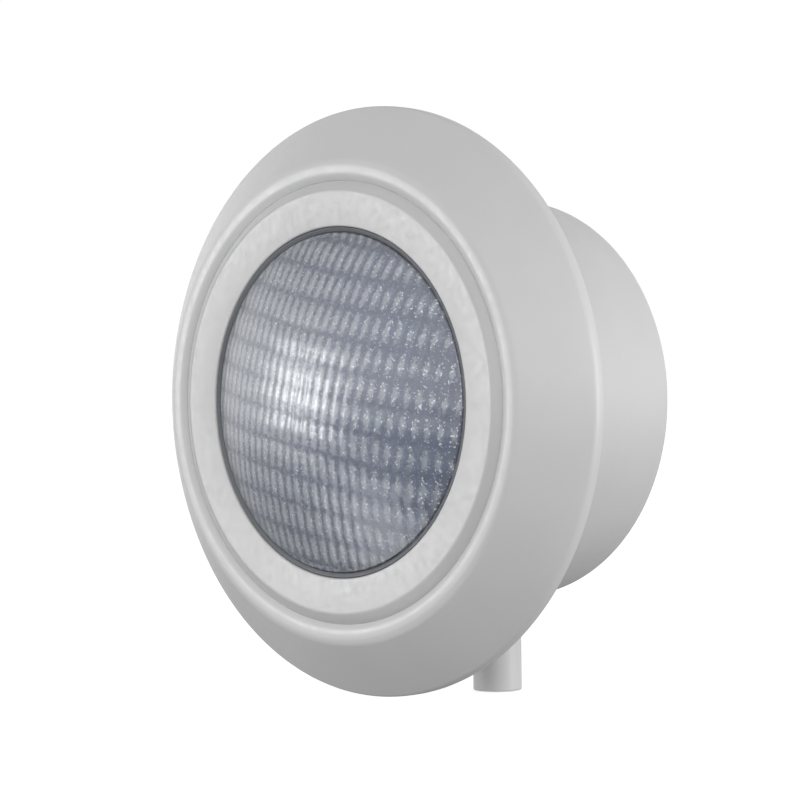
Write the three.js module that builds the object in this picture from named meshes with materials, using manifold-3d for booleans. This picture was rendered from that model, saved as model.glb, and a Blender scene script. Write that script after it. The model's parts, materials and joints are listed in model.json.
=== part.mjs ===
// An underwater pool light: a sealed lamp in a plastic housing, held in a niche body by a cover ring.
// Millimetres. The light's axis is Y, with the pool towards -Y and the wall's face at y = 0, and +Z is up.
// Outlines are (radius, depth) pairs, where depth is the distance in front of the wall.
import * as THREE from "three";
import { mergeVertices } from "three/addons/utils/BufferGeometryUtils.js";
import Module from "manifold-3d";

const wasm = await Module();
wasm.setup();

// Driving dimensions.
const GAP = 0.3; // left between pieces that touch
const PAST = 1; // how far a cutter runs past the faces it cuts
const RIM_RADIUS = 145; // cover ring, at the wall
const RIM_EDGE = 5;
const FACE_RADIUS = 117.2; // outer edge of the cover ring's flat face
const FACE_DEPTH = 29.8;
const COVER_OPENING = 107.8;
const COVER_WALL = 3; // of the cover's flare, measured along the radius
const FACE_WALL = 3.7;
const LIP = 2.1; // the cover's face falls this much to its opening
const COLLAR = { wall: 2.5, back: 17 }; // the cover's inner collar, down to this depth
const BEZEL_RADIUS = 107.4;
const BEZEL_CREST = { radius: 103.1, depth: 30.8 };
const BEZEL_SHOULDER = 28.3; // depth at which the bezel's side wall ends
const BEZEL_WALL = 3.5;
const BEZEL_FLANGE = { radius: 116.4, thickness: 3 };
const BEZEL_STEP = 92.2; // where the bezel's underside starts to rise over the gasket's skirt
const BEZEL_HOLLOW = { radius: 99, rise: 0.9, fall: 1.5 };
const LENS_OPENING = { radius: 85.5, depth: 29.4, lip: 2.6 }; // the opening in the bezel
const NICHE_RADIUS = 101.7;
const NICHE_DEPTH = 103; // behind the wall's face
const NICHE_WALL = 4;
const NICHE_FLANGE = { radius: 130, thickness: 4 };
const NICHE_CORNER = 4; // rounding of the drum's back edge
const STUB = { radius: 12.5, bore: 9.5, y: 86, top: -91, bottom: -149, neckLength: 16 };
const LAMP_RADIUS = 89;
const LENS = { domeRadius: 160, apex: 51.5, edge: 82.6, thickness: 3.2, seat: 24.9, back: 19.9 };
const REFLECTOR = { focal: 30.8, vertex: -38, front: 19.6, flange: 3.7, wall: 3.2, floor: 4 };
const HOUSING = { flangeRadius: 127, flangeThickness: 3.5, back: 60, wall: 3, spigot: 99.9, seat: 12.1 };
const BOWL = { mouth: 94.5, waist: 94, floor: 54, inner: 90.5, ledge: 85, top: -2 }; // the housing's radii
const GASKET_SKIRT = { radius: 91.6, back: 17.6 }; // the lens gasket's skirt round the lamp's rim
const SEAT_GASKET = { inner: 87, outer: 95 };
const HOUSING_SEAL_HEIGHT = 3;
const TERMINAL_X = 12;
const TERMINAL = { radius: 6, length: 8, bore: 2.1, boreDepth: 6.5, hole: 1.8 };
const LUG = { radius: 5.2, thickness: 1, tongue: 3.4, barrel: 2.2, barrelLength: 5.5 };
const FILAMENT = { reach: 9, bend: 4, rise: 2.5, radius: 1.1, post: 1.3 };
const LEAD_RADIUS = 1.75;
const CABLE_BORE = 5;
const GLAND = { thread: 8, collar: 9.2, hex: 12, washer: 1.5, length: 12, seat: 8, top: 12.5, throat: 7.3 };
const GLAND_NUT = { low: 6.5, flats: 8, dome: 10, taper: 14.3, throat: 16.5, mouth: 7.5, top: 19 };
const GLAND_SEAL = { grip: 0.2, outer: 7, low: 8.3, high: 14 };
const LOCKNUT_THICKNESS = 4;
const HOUSING_GLAND_Z = 32;

// Fasteners round the axis: how many, on which radius, and the first one's angle in degrees.
const BEZEL_SCREWS = { count: 8, radius: 111.9, first: 22.5, head: 3.4, shank: 1.9 };
const FIXING_SCREWS = { count: 4, radius: 121.5, first: 45, head: 4, shank: 2 };
const FINGERS = { count: 4, radius: 121, first: 0, width: 12, thickness: 3, top: 24.3 };
const SLOT_ROOM = 0.8; // how much wider the fingers' slots are
const SCREW_LENGTHS = { bezel: 6.6, fixing: 13, terminal: 6.5 };
const INSERT = { radius: 4, length: 11.5 };

// How finely round things are divided.
const LARGE = 48;
const LAMP = 32;
const SMALL = 12;
const FINE = 10; // screws and inserts
const THIN = 8; // wires and shanks
const HEX = 6;
const CORNER_STEPS = 2;
const DOME_STEPS = 3;

const FLANGE_FACE = NICHE_FLANGE.thickness + GAP; // depth of the housing flange's back
const FLANGE_TOP = FLANGE_FACE + HOUSING.flangeThickness;
const BEZEL_BASE = FLANGE_TOP + GAP;
const LIP_BACK = LENS_OPENING.depth - LENS_OPENING.lip; // depth of the face that presses on the gasket

const LOOKS = {
  plastic: { color: 0xdcdcd8, roughness: 0.35, metalness: 0 },
  housing: { color: 0xc9cac8, roughness: 0.5, metalness: 0 },
  glass: { color: 0xa9b4c6, roughness: 0.1, metalness: 0 },
  mirror: { color: 0xd8dade, roughness: 0.08, metalness: 1 },
  rubber: { color: 0x4c4e50, roughness: 0.7, metalness: 0 },
  brass: { color: 0xb99a55, roughness: 0.3, metalness: 1 },
  steel: { color: 0xb9bbbd, roughness: 0.3, metalness: 1 },
  tungsten: { color: 0x6d6f73, roughness: 0.5, metalness: 1 },
  nylon: { color: 0x3a3b3d, roughness: 0.55, metalness: 0 },
  lead: { color: 0x2f3f63, roughness: 0.5, metalness: 0 },
};

function solidOf(geometry) {
  const bare = geometry.clone();
  bare.deleteAttribute("normal");
  bare.deleteAttribute("uv");
  const merged = mergeVertices(bare, 1e-4);
  const vertProperties = merged.attributes.position.array;
  const triVerts = new Uint32Array(merged.index.array);
  return new wasm.Manifold(new wasm.Mesh({ numProp: 3, vertProperties, triVerts }));
}

function geometryOf(solid) {
  const mesh = solid.getMesh();
  const geometry = new THREE.BufferGeometry();
  geometry.setAttribute("position", new THREE.BufferAttribute(mesh.vertProperties, 3));
  geometry.setIndex(new THREE.BufferAttribute(mesh.triVerts, 1));
  geometry.computeVertexNormals();
  return geometry;
}

// A path through corners of [radius, depth, rounding], where the rounding may be left out.
function outline(corners, path = new THREE.Path()) {
  const at = corners.map(([radius, depth]) => new THREE.Vector2(radius, depth));
  at.forEach((corner, i) => {
    const rounding = corners[i][2] ?? 0;
    if (rounding === 0) {
      const go = path.curves.length || i ? path.lineTo : path.moveTo;
      go.call(path, corner.x, corner.y);
      return;
    }
    const before = at[i - 1].clone().sub(corner).setLength(rounding).add(corner);
    const after = at[i + 1].clone().sub(corner).setLength(rounding).add(corner);
    path.lineTo(before.x, before.y);
    path.quadraticCurveTo(corner.x, corner.y, after.x, after.y);
  });
  return path;
}

// Turns an outline round the Y axis. It starts and ends on the axis, or is closed here.
function turned(path, sides, steps = CORNER_STEPS) {
  const points = path.getPoints(steps).map((p) => new THREE.Vector2(p.x, -p.y));
  const last = points[points.length - 1];
  if (last.x > 0) points.push(points[0].clone());
  if (THREE.ShapeUtils.area(points) < 0) points.reverse();
  return new THREE.LatheGeometry(points, sides);
}

// A round bar along Y between two depths, with its axis at x, z.
function bar(radius, low, high, x = 0, z = 0, sides = SMALL) {
  const geometry = new THREE.CylinderGeometry(radius, radius, high - low, sides);
  return geometry.translate(x, -(low + high) / 2, z);
}

// A tube of square section: one ring of a seal or a washer.
function ring(inner, outer, low, high, sides) {
  return turned(outline([[outer, low], [outer, high], [inner, high], [inner, low]]), sides);
}

function rod(points, radius, sides, steps) {
  const section = new THREE.Shape();
  for (let i = 0; i < sides; i++) {
    const angle = (i / sides) * 2 * Math.PI;
    const go = i ? section.lineTo : section.moveTo;
    go.call(section, radius * Math.cos(angle), radius * Math.sin(angle));
  }
  const extrudePath = new THREE.CatmullRomCurve3(points.map((p) => new THREE.Vector3(...p)));
  return new THREE.ExtrudeGeometry(section, { extrudePath, steps, bevelEnabled: false });
}

// The [x, z, angle] of each of a set of places round the axis.
function places({ count, radius, first }) {
  const at = [];
  for (let i = 0; i < count; i++) {
    const angle = THREE.MathUtils.degToRad(first + (i * 360) / count);
    at.push([radius * Math.cos(angle), radius * Math.sin(angle), angle]);
  }
  return at;
}

// A block that stands at one place of a set, its width along the tangent.
function blockAt([x, z, angle], thickness, width, low, high) {
  const geometry = new THREE.BoxGeometry(thickness, high - low, width);
  return geometry.rotateY(-angle).translate(x, -(low + high) / 2, z);
}

const light = new THREE.Group();

function add(name, geometry, look, parent = light) {
  const mesh = new THREE.Mesh(geometry, new THREE.MeshStandardMaterial(LOOKS[look]));
  mesh.name = name;
  parent.add(mesh);
  return mesh;
}

// --- The niche body, set in the wall ---

function nicheShell() {
  const inner = NICHE_RADIUS - NICHE_WALL;
  const path = outline([
    [0, -NICHE_DEPTH],
    [NICHE_RADIUS, -NICHE_DEPTH, NICHE_CORNER],
    [NICHE_RADIUS, 0],
    [NICHE_FLANGE.radius, 0],
    [NICHE_FLANGE.radius, NICHE_FLANGE.thickness],
    [inner, NICHE_FLANGE.thickness],
    [inner, -NICHE_DEPTH + NICHE_WALL, NICHE_CORNER / 2],
    [0, -NICHE_DEPTH + NICHE_WALL],
  ]);
  let shell = solidOf(turned(path, LARGE));
  for (const [x, z] of places(FIXING_SCREWS)) {
    shell = shell.subtract(solidOf(bar(INSERT.radius + GAP, -PAST, NICHE_FLANGE.thickness + PAST, x, z)));
  }
  const wayRadius = STUB.radius + GAP;
  const wayLength = 2 * (NICHE_RADIUS + STUB.top + NICHE_WALL);
  const cut = new THREE.CylinderGeometry(wayRadius, wayRadius, wayLength, LAMP);
  cut.rotateX(Math.PI / 2).translate(0, STUB.y, -NICHE_RADIUS);
  return geometryOf(shell.subtract(solidOf(cut)));
}

// A straight tube whose upper end is narrowed, to take the gland's thread.
function conduitStub() {
  const neck = GLAND.thread + GAP;
  const length = STUB.top - STUB.bottom;
  const path = outline([
    [STUB.radius, 0],
    [STUB.radius, length],
    [STUB.bore, length],
    [STUB.bore, STUB.neckLength + 2],
    [neck, STUB.neckLength],
    [neck, 0],
  ]);
  return turned(path, LAMP);
}

function screwInserts() {
  places(FIXING_SCREWS).forEach(([x, z], i) => {
    const low = NICHE_FLANGE.thickness - INSERT.length;
    const geometry = ring(FIXING_SCREWS.shank + GAP, INSERT.radius, low, NICHE_FLANGE.thickness, FINE);
    add(`niche_insert_${i + 1}`, geometry.translate(x, 0, z), "brass");
  });
}

// --- A cable gland on the plane y = 0 of its own group, its nut towards -Y ---

function glandBody() {
  const { thread, collar, hex, washer, length, seat, top, throat } = GLAND;
  const flange = washer + 2 * GAP;
  const path = outline([
    [thread, -length],
    [thread, flange],
    [collar, flange],
    [collar, top],
    [throat, top],
    [throat, seat],
    [CABLE_BORE, seat],
    [CABLE_BORE, -length],
  ]);
  const flats = bar(hex, flange, flange + LOCKNUT_THICKNESS, 0, 0, HEX);
  const way = bar(CABLE_BORE + 1, flange - PAST, flange + LOCKNUT_THICKNESS + PAST);
  return geometryOf(solidOf(turned(path, SMALL)).add(solidOf(flats).subtract(solidOf(way))));
}

function glandNut() {
  const { low, flats, dome, taper, throat, mouth, top } = GLAND_NUT;
  const block = solidOf(bar(GLAND.hex, low, low + flats, 0, 0, HEX));
  const cap = outline([[0, low + 1], [dome, low + 1], [dome, top - 2, 1.5], [mouth, top], [0, top]]);
  const bore = outline([
    [0, low - PAST],
    [GLAND.collar + GAP, low - PAST],
    [GLAND.collar + GAP, taper],
    [CABLE_BORE, throat],
    [CABLE_BORE, top + PAST],
    [0, top + PAST],
  ]);
  const body = block.add(solidOf(turned(cap, SMALL)));
  return geometryOf(body.subtract(solidOf(turned(bore, SMALL))));
}

// The nut inside the housing's wall.
function glandLocknut() {
  const top = -HOUSING.wall - GAP;
  const block = bar(GLAND.hex, top - LOCKNUT_THICKNESS, top, 0, 0, HEX);
  const bore = bar(GLAND.thread + GAP, top - LOCKNUT_THICKNESS - PAST, top + PAST);
  return geometryOf(solidOf(block).subtract(solidOf(bore)));
}

function gland(prefix) {
  const group = new THREE.Group();
  add(`${prefix}_body`, glandBody(), "nylon", group);
  const washer = ring(GLAND.thread + GAP, GLAND.hex - 1, GAP, GLAND.washer + GAP, SMALL);
  add(`${prefix}_washer`, washer, "rubber", group);
  const { grip, outer, low, high } = GLAND_SEAL;
  add(`${prefix}_seal`, ring(CABLE_BORE - grip, outer, low, high, SMALL), "rubber", group);
  add(`${prefix}_nut`, glandNut(), "nylon", group);
  light.add(group);
  return group;
}

// --- The lamp: a domed lens on a parabolic reflector ---

function lampLens() {
  const { domeRadius, apex, edge, thickness, seat, back } = LENS;
  const centre = apex - domeRadius;
  const innerRadius = domeRadius - thickness;
  const innerEdge = edge - thickness;
  const path = new THREE.Path();
  path.absarc(0, centre, domeRadius, Math.PI / 2, Math.acos(edge / domeRadius), true);
  outline([[edge, seat], [LAMP_RADIUS, seat], [LAMP_RADIUS, back], [innerEdge, back]], path);
  path.absarc(0, centre, innerRadius, Math.acos(innerEdge / innerRadius), Math.PI / 2, false);
  return turned(path, LAMP, DOME_STEPS);
}

// The depth of the mirror at a radius.
function mirrorDepth(radius) {
  return REFLECTOR.vertex + radius ** 2 / (4 * REFLECTOR.focal);
}

function mirrorRadius(depth) {
  return Math.sqrt(4 * REFLECTOR.focal * (depth - REFLECTOR.vertex));
}

function lampReflector() {
  const { focal, vertex, front, flange, wall, floor } = REFLECTOR;
  const floorTop = vertex + 2;
  const flangeBack = front - flange;
  const neck = mirrorRadius(floorTop);
  const mouth = mirrorRadius(front);
  const shoulder = mirrorRadius(flangeBack);
  const bend = (from, to) => vertex + (from * to) / (4 * focal);
  const path = outline([[0, floorTop - floor], [neck + wall, floorTop - floor], [neck + wall, floorTop]]);
  const outerBend = (neck + shoulder) / 2 + wall;
  path.quadraticCurveTo(outerBend, bend(neck, shoulder), shoulder + wall, flangeBack);
  outline([[LAMP_RADIUS, flangeBack], [LAMP_RADIUS, front], [mouth, front]], path);
  path.quadraticCurveTo((neck + mouth) / 2, bend(neck, mouth), neck, mirrorDepth(neck));
  path.lineTo(0, floorTop);
  let bowl = solidOf(turned(path, LAMP, DOME_STEPS));
  for (const side of [-1, 1]) {
    const hole = bar(TERMINAL.hole, floorTop - floor - PAST, floorTop + PAST, side * TERMINAL_X);
    bowl = bowl.subtract(solidOf(hole));
  }
  return geometryOf(bowl);
}

function filament() {
  const { reach, bend, rise, radius } = FILAMENT;
  const y = -(REFLECTOR.vertex + REFLECTOR.focal);
  return rod([[-reach, y, 0], [-bend, y, rise], [bend, y, rise], [reach, y, 0]], radius, THIN, 8);
}

function filamentPost(side) {
  const foot = -(REFLECTOR.vertex - 1.7);
  const tip = -(REFLECTOR.vertex + REFLECTOR.focal) + 1.5;
  const x = side * TERMINAL_X;
  const end = side * FILAMENT.reach;
  const route = [[x, foot, 0], [x, foot - 8, 0], [end + side / 2, tip + 6, 0], [end, tip, 0]];
  return rod(route, FILAMENT.post, THIN, 6);
}

const TERMINAL_FRONT = REFLECTOR.vertex - 2 - GAP;
const TERMINAL_BACK = TERMINAL_FRONT - TERMINAL.length;
const TERMINAL_SCREW = { head: 4.2, shank: 1.8 };

function terminal() {
  const { radius, bore, boreDepth } = TERMINAL;
  const body = solidOf(bar(radius, TERMINAL_BACK, TERMINAL_FRONT));
  return geometryOf(body.subtract(solidOf(bar(bore, TERMINAL_BACK - PAST, TERMINAL_BACK + boreDepth))));
}

// A flat eye under the screw's head, with a barrel that grips the lead above it.
function terminalLug() {
  const { radius, thickness, tongue, barrel, barrelLength } = LUG;
  const front = TERMINAL_BACK - GAP;
  const back = front - thickness;
  const eye = solidOf(bar(radius, back, front));
  const strip = new THREE.BoxGeometry(tongue, thickness, 4).translate(0, -(front + back) / 2, radius + 1.3);
  const grip = new THREE.CylinderGeometry(barrel, barrel, barrelLength, SMALL).rotateX(Math.PI / 2);
  grip.translate(0, -back + 0.6, 2 * radius + 0.2);
  const hole = solidOf(bar(TERMINAL.bore + 0.1, back - PAST, front + PAST));
  return geometryOf(eye.add(solidOf(strip)).subtract(hole).add(solidOf(grip)));
}

// A slotted screw along Y. Its head stands on the face, towards the pool or, turned round, towards the wall.
function screw({ head, shank }, face, length, turnedRound = false) {
  const way = turnedRound ? -1 : 1;
  const top = face + way * head * 0.75;
  const tip = face - way * length;
  const headBar = bar(head, Math.min(face, top), Math.max(face, top), 0, 0, FINE);
  const shankBar = bar(shank, Math.min(face, tip), Math.max(face, tip), 0, 0, THIN);
  const slot = new THREE.BoxGeometry(head * 2.2, 1.6, 1).translate(0, -top, 0);
  return geometryOf(solidOf(headBar).add(solidOf(shankBar)).subtract(solidOf(slot)));
}

function lead(side) {
  const x = side * TERMINAL_X;
  const lug = -TERMINAL_BACK + GAP + LUG.thickness + 0.6;
  const z = HOUSING_GLAND_Z;
  const route = [
    [side * 2.4, 53, z],
    [side * 2.7, 46, z - 0.5],
    [side * 5, 41.5, z - 4],
    [side * 9.5, 41.5, z - 9.5],
    [x, 45.5, z - 13.5],
    [x, lug, z - 15.8],
    [x, lug, z - 18],
  ];
  return rod(route, LEAD_RADIUS, THIN, 11);
}

function lamp() {
  add("lamp_lens", lampLens(), "glass");
  add("lamp_reflector", lampReflector(), "mirror");
  add("filament", filament(), "tungsten");
  for (const side of [-1, 1]) {
    const number = side < 0 ? 1 : 2;
    const x = side * TERMINAL_X;
    const screwFace = TERMINAL_BACK - 2 * GAP - LUG.thickness;
    add(`filament_post_${number}`, filamentPost(side), "tungsten");
    add(`terminal_${number}`, terminal().translate(x, 0, 0), "brass");
    add(`terminal_lug_${number}`, terminalLug().translate(x, 0, 0), "brass");
    const terminalScrew = screw(TERMINAL_SCREW, screwFace, SCREW_LENGTHS.terminal, true);
    add(`terminal_screw_${number}`, terminalScrew.translate(x, 0, 0), "steel");
    add(`lead_wire_${number}`, lead(side), "lead");
  }
}

// --- The housing behind the lamp, and the bezel that clamps the lamp into it ---

function lampHousing() {
  const { flangeRadius, back, wall, spigot, seat } = HOUSING;
  const { mouth, waist, floor, inner, ledge, top } = BOWL;
  const path = outline([
    [0, -back],
    [floor, -back, 8],
    [waist, top, 3],
    [mouth, FLANGE_FACE],
    [flangeRadius, FLANGE_FACE],
    [flangeRadius, FLANGE_TOP],
    [spigot, FLANGE_TOP],
    [spigot, seat],
    [ledge, seat],
    [ledge, seat - 3],
    [inner, seat - 8],
    [inner, top - 1, 3],
    [floor - 2.5, wall - back, 6],
    [0, wall - back],
  ]);
  let body = solidOf(turned(path, LARGE));
  const through = (radius, x, z) => solidOf(bar(radius, FLANGE_FACE - PAST, FLANGE_TOP + PAST, x, z, FINE));
  for (const [x, z] of places(BEZEL_SCREWS)) {
    body = body.subtract(through(BEZEL_SCREWS.shank + GAP, x, z));
  }
  for (const [x, z] of places(FIXING_SCREWS)) {
    body = body.subtract(through(FIXING_SCREWS.shank + GAP, x, z));
  }
  for (const place of places(FINGERS)) {
    const thickness = FINGERS.thickness + SLOT_ROOM;
    const width = FINGERS.width + SLOT_ROOM;
    const slot = blockAt(place, thickness, width, FLANGE_FACE - PAST, FLANGE_TOP + PAST);
    body = body.subtract(solidOf(slot));
  }
  const entry = bar(GLAND.thread + GAP, -back - PAST, wall - back + PAST, 0, HOUSING_GLAND_Z);
  return geometryOf(body.subtract(solidOf(entry)));
}

function lampBezel() {
  const { radius, thickness } = BEZEL_FLANGE;
  const inside = BEZEL_RADIUS - BEZEL_WALL;
  const path = outline([
    [radius, BEZEL_BASE],
    [radius, BEZEL_BASE + thickness],
    [BEZEL_RADIUS, BEZEL_BASE + thickness],
    [BEZEL_RADIUS, BEZEL_SHOULDER, 1.2],
    [BEZEL_CREST.radius, BEZEL_CREST.depth],
    [LENS_OPENING.radius, LENS_OPENING.depth],
    [LENS_OPENING.radius, LIP_BACK],
    [BEZEL_STEP, LIP_BACK],
    [BEZEL_HOLLOW.radius, LIP_BACK + BEZEL_HOLLOW.rise],
    [inside, LIP_BACK - BEZEL_HOLLOW.fall],
    [inside, BEZEL_BASE],
  ]);
  let body = solidOf(turned(path, LARGE));
  for (const [x, z] of places(BEZEL_SCREWS)) {
    const hole = bar(BEZEL_SCREWS.shank + GAP, BEZEL_BASE - PAST, BEZEL_BASE + thickness + PAST, x, z, FINE);
    body = body.subtract(solidOf(hole));
  }
  return geometryOf(body);
}

function lensGasket() {
  const skirt = LAMP_RADIUS + GAP;
  const bead = LENS_OPENING.radius - GAP;
  const path = outline([
    [LENS.edge + GAP, LENS.seat + GAP],
    [LENS.edge + GAP, LIP_BACK + 1.2],
    [bead, LENS_OPENING.depth - 0.6],
    [bead, LIP_BACK - GAP],
    [GASKET_SKIRT.radius, LIP_BACK - GAP],
    [GASKET_SKIRT.radius, GASKET_SKIRT.back],
    [skirt, GASKET_SKIRT.back],
    [skirt, LENS.seat + GAP],
  ]);
  return turned(path, LARGE);
}

function housingPieces() {
  add("lamp_housing", lampHousing(), "housing");
  add("lamp_bezel", lampBezel(), "plastic");
  add("lens_gasket", lensGasket(), "rubber");
  const seatTop = REFLECTOR.front - REFLECTOR.flange - GAP;
  const { inner, outer } = SEAT_GASKET;
  add("seat_gasket", ring(inner, outer, HOUSING.seat + GAP, seatTop, LARGE), "rubber");
  const sealOuter = BEZEL_RADIUS - BEZEL_WALL - GAP;
  const sealTop = BEZEL_BASE + HOUSING_SEAL_HEIGHT;
  add("housing_seal", ring(HOUSING.spigot + GAP, sealOuter, BEZEL_BASE, sealTop, LARGE), "rubber");
  places(BEZEL_SCREWS).forEach(([x, z], i) => {
    const face = BEZEL_BASE + BEZEL_FLANGE.thickness + GAP;
    add(`bezel_screw_${i + 1}`, screw(BEZEL_SCREWS, face, SCREW_LENGTHS.bezel).translate(x, 0, z), "steel");
  });
  places(FIXING_SCREWS).forEach(([x, z], i) => {
    const fixing = screw(FIXING_SCREWS, FLANGE_TOP + GAP, SCREW_LENGTHS.fixing);
    add(`fixing_screw_${i + 1}`, fixing.translate(x, 0, z), "steel");
  });
}

// --- The cover ring: a thin cone with a flat face, and fingers that push into the housing's flange ---

function trimRing() {
  const inside = RIM_RADIUS - COVER_WALL;
  const collar = COVER_OPENING + COLLAR.wall;
  const path = outline([
    [RIM_RADIUS, 0],
    [RIM_RADIUS, RIM_EDGE, 1],
    [FACE_RADIUS, FACE_DEPTH, 1.5],
    [COVER_OPENING + LIP, FACE_DEPTH],
    [COVER_OPENING, FACE_DEPTH - LIP],
    [COVER_OPENING, COLLAR.back],
    [collar, COLLAR.back],
    [collar, FACE_DEPTH - FACE_WALL],
    [FACE_RADIUS, FACE_DEPTH - FACE_WALL],
    [inside, RIM_EDGE - 1],
    [inside, 0],
  ]);
  let body = solidOf(turned(path, LARGE));
  for (const place of places(FINGERS)) {
    const finger = blockAt(place, FINGERS.thickness, FINGERS.width, FLANGE_FACE + 0.4, FINGERS.top);
    body = body.add(solidOf(finger));
  }
  return geometryOf(body);
}

add("niche_shell", nicheShell(), "plastic");
const stub = add("conduit_stub", conduitStub(), "plastic");
stub.rotation.x = Math.PI / 2;
stub.position.set(0, STUB.y, STUB.top);
screwInserts();

const nicheGland = gland("niche_gland");
nicheGland.rotation.x = -Math.PI / 2;
nicheGland.position.set(0, STUB.y, STUB.top);

const housingGland = gland("housing_gland");
add("housing_gland_locknut", glandLocknut(), "nylon", housingGland);
housingGland.rotation.x = Math.PI;
housingGland.position.set(0, HOUSING.back, HOUSING_GLAND_Z);

housingPieces();
lamp();
add("trim_ring", trimRing(), "plastic");

export default light;
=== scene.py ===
import json
import math

import bmesh
import bpy
import numpy as np
from mathutils import Matrix, Vector

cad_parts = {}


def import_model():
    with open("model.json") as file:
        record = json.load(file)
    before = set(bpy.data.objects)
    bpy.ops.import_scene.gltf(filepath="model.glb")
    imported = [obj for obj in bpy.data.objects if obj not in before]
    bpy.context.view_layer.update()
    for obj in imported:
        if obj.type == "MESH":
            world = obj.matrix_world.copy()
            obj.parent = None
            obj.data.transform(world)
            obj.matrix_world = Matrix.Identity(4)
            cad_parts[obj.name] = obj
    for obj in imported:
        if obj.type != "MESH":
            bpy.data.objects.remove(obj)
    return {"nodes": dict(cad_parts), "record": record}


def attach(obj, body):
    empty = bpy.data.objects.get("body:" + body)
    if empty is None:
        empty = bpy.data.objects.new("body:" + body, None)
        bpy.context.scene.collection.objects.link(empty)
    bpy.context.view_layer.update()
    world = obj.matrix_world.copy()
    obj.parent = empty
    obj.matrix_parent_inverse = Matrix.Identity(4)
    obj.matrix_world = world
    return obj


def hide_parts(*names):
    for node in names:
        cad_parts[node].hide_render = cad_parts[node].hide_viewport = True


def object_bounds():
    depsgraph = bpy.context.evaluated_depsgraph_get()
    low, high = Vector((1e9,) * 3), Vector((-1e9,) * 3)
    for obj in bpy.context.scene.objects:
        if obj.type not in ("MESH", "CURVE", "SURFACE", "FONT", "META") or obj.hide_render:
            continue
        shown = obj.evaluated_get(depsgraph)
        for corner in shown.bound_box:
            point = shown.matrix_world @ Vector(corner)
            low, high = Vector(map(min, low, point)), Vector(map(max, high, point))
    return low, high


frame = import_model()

cad_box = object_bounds()
MM = 0.001

# Sizes in millimetres. A depth is measured from the wall's face towards the pool. A corner such
# as CREST is a radius from the axis and a depth.

# The cover ring
RIM_RADIUS = 145
RIM_EDGE = 5
RIM_WALL = 3
FLARE_BEND = (132, 17.2)
FACE_RADIUS = 117.2
FACE_DEPTH = 29.8
FACE_WALL = 3.7
LIP = 1.6  # how far the cover's face falls to its opening
COVER_OPENING = 107.8
COLLAR_WALL = 2.5
COLLAR_BACK = 17

# The bezel and the seal round the lens
BEZEL_RADIUS = 107.4
BEZEL_BASE = 8.1
BEZEL_WALL = 3.5
BEZEL_FOOT = 3  # thickness of the flange that the clamp screws hold
BEZEL_FOOT_RADIUS = 116.4
BEZEL_STEP = 24  # where a fine step closes the seam to the cover
CREST = (103.1, 30.8)
LENS_OPENING = 85.5
OPENING_DEPTH = 29.4
LIP_BACK = 26.8
GASKET_RADIUS = 91.6
GASKET_BACK = 17.6

# The lamp
LAMP_RADIUS = 89
LENS_SEAT = 24.9
LENS_BACK = 19.9
DOME_RADIUS = 160
DOME_APEX = 51.5
DOME_EDGE = 82.6
GLASS_THICKNESS = 3.2
FOCAL = 30.8
MIRROR_VERTEX = -38
MIRROR_FRONT = 19.6
MIRROR_WALL = 3.2
MIRROR_FLOOR = 2  # half the thickness of the flat floor behind the filament
MIRROR_FLANGE = 3.7
POST_HOLE = 1.8
TERMINAL_X = 12
TERMINAL_BACK = MIRROR_VERTEX - 10.3
FILAMENT_Y = -(MIRROR_VERTEX + FOCAL)
LUG_Y = 0.6 - TERMINAL_BACK + 1.3

# The housing
HOUSING_FACE = 4.3  # depth of the housing flange's back
HOUSING_TOP = 7.8
HOUSING_BACK = 60
HOUSING_SEAT = 12.1
HOUSING_WALL = 3
HOUSING_RIM = 127
HOUSING_STEP = 99.9  # radius of the step round the lamp's seat
HOUSING_BORE = 90.5
SEAT_BORE = 85
HOUSING_GLAND_Z = 32
FLANGE_CUT = (3, 9)  # depths that pass right through the housing's flange

# The niche body and its conduit stub
NICHE_RADIUS = 101.7
NICHE_DEPTH = 103
NICHE_WALL = 4
FLANGE_RADIUS = 130
FLANGE_THICKNESS = 4
STUB_RADIUS = 12.5
STUB_BORE = 9.5
STUB_Y = 86
STUB_TOP = -91
STUB_BOTTOM = -149

# Where the screws and the cover's fingers stand
CLAMP_ANGLES = [math.radians(22.5 + 45 * i) for i in range(8)]
FIXING_ANGLES = [math.radians(45 + 90 * i) for i in range(4)]
FINGER_ANGLES = [math.radians(90 * i) for i in range(4)]
CLAMP_CIRCLE = 111.9
FIXING_CIRCLE = 121.5
FINGER_CIRCLE = 121
FINGER_TOP = 24.3
FINGER_THICKNESS = 3
FINGER_WIDTH = 12
FINGER_ROOM = 0.4  # round each finger in its slot

# Screws, as the head's radius, the shank's radius and the length, and the holes for them.
CLAMP_SCREW = (3.4, 1.9, 6.6)
FIXING_SCREW = (4, 2, 13)
STUD_SCREW = (4.2, 1.8, 6.5)
CLAMP_HOLE = 2.2
FIXING_HOLE = 2.3
INSERT_HOLE = 4.3
INSERT_RADIUS = 4
INSERT_BORE = 2.3
INSERT_END = -7.5
GLAND_HOLE = 8.3
CLEARANCE = 0.3  # between pieces that touch

# The lens's pattern: upright flutes cut into bricks, turned a little with the lamp. Its relief
# gives the heights of a flute, a brick and a course, and how far a brick leans across and up.
FLUTE_PITCH = 5.95
BRICK_HEIGHT = 14.2
COURSE_HEIGHT = BRICK_HEIGHT / 3
ROW_OFFSET = 0.8
LAMP_TURN = math.radians(11)
OUTER_HEIGHTS = (0.24, 0.26, 0.03)
OUTER_LEAN = (0.1, 0.15)
INNER_HEIGHTS = (0.42, 0.5, 0.12)
INNER_LEAN = (0.2, 0.3)
RELIEF_FADE = 2.0

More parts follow.
